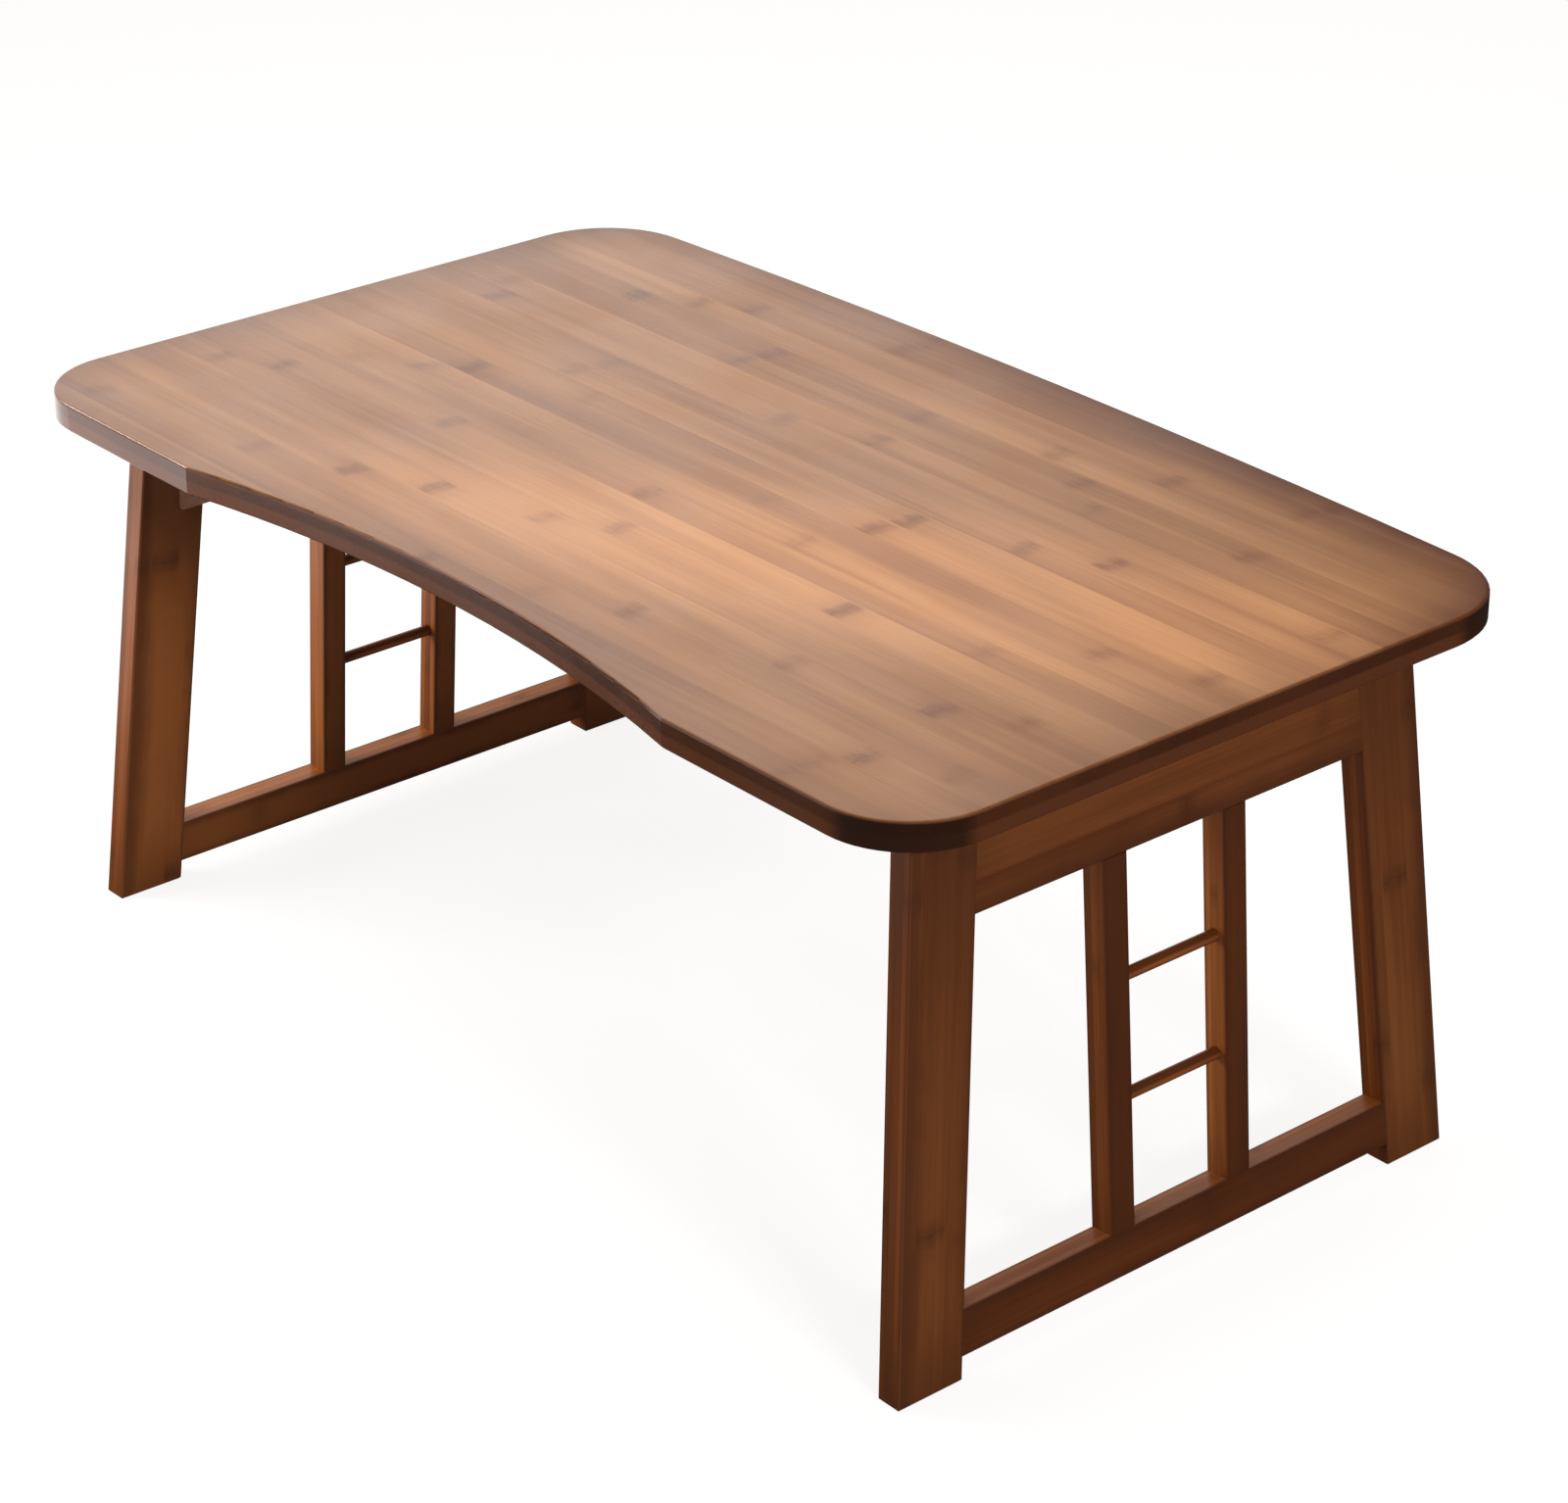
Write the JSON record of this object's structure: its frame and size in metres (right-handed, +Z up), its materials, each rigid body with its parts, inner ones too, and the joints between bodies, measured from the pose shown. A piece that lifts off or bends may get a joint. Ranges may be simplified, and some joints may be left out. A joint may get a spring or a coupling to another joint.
{
  "type": "folding low table",
  "caption": "Low bamboo folding table with an arched front edge and two latticed leg frames that hinge flat under the board.",
  "frame": {"origin": "on the floor, under the middle of the board's length and depth", "axes": "+X along the board to the right of someone at the arched edge, +Y from the arched front edge to the bowed back edge, +Z up"},
  "size_m": [0.68, 0.4034, 0.298],
  "materials": {
    "bamboo_board": "satin lacquer",
    "bamboo_frame": "satin lacquer",
    "hinge_plate": "satin",
    "hinge_pin": "satin",
    "screw": "satin"
  },
  "bodies": {
    "tabletop": {"tabletop": "bamboo_board", "right_front_hinge_board_leaf": "hinge_plate", "right_back_hinge_board_leaf": "hinge_plate", "left_front_hinge_board_leaf": "hinge_plate", "left_back_hinge_board_leaf": "hinge_plate", "right_front_hinge_pin": "hinge_pin", "right_back_hinge_pin": "hinge_pin", "left_front_hinge_pin": "hinge_pin", "left_back_hinge_pin": "hinge_pin", "right_hinge_board_screws": "screw", "left_hinge_board_screws": "screw"},
    "right_leg": {"right_top_rail": "bamboo_frame", "right_bottom_rail": "bamboo_frame", "right_upper_dowel": "bamboo_frame", "right_lower_dowel": "bamboo_frame", "right_front_post": "bamboo_frame", "right_front_mullion": "bamboo_frame", "right_back_post": "bamboo_frame", "right_back_mullion": "bamboo_frame", "right_front_hinge_leg_leaf": "hinge_plate", "right_back_hinge_leg_leaf": "hinge_plate", "right_hinge_leg_screws": "screw"},
    "left_leg": {"left_top_rail": "bamboo_frame", "left_bottom_rail": "bamboo_frame", "left_upper_dowel": "bamboo_frame", "left_lower_dowel": "bamboo_frame", "left_front_post": "bamboo_frame", "left_front_mullion": "bamboo_frame", "left_back_post": "bamboo_frame", "left_back_mullion": "bamboo_frame", "left_front_hinge_leg_leaf": "hinge_plate", "left_back_hinge_leg_leaf": "hinge_plate", "left_hinge_leg_screws": "screw"}
  },
  "joints": [
    {"name": "right_leg_fold", "type": "hinge", "parent": "tabletop", "child": "right_leg", "pos_m": [0.28381, -0.00395, 0.2796], "axis": [0, 1, 0], "range_deg": [0, 94.45]},
    {"name": "left_leg_fold", "type": "hinge", "parent": "tabletop", "child": "left_leg", "pos_m": [-0.28381, -0.00395, 0.2796], "axis": [0, -1, 0], "range_deg": [0, 94.45]}
  ]
}
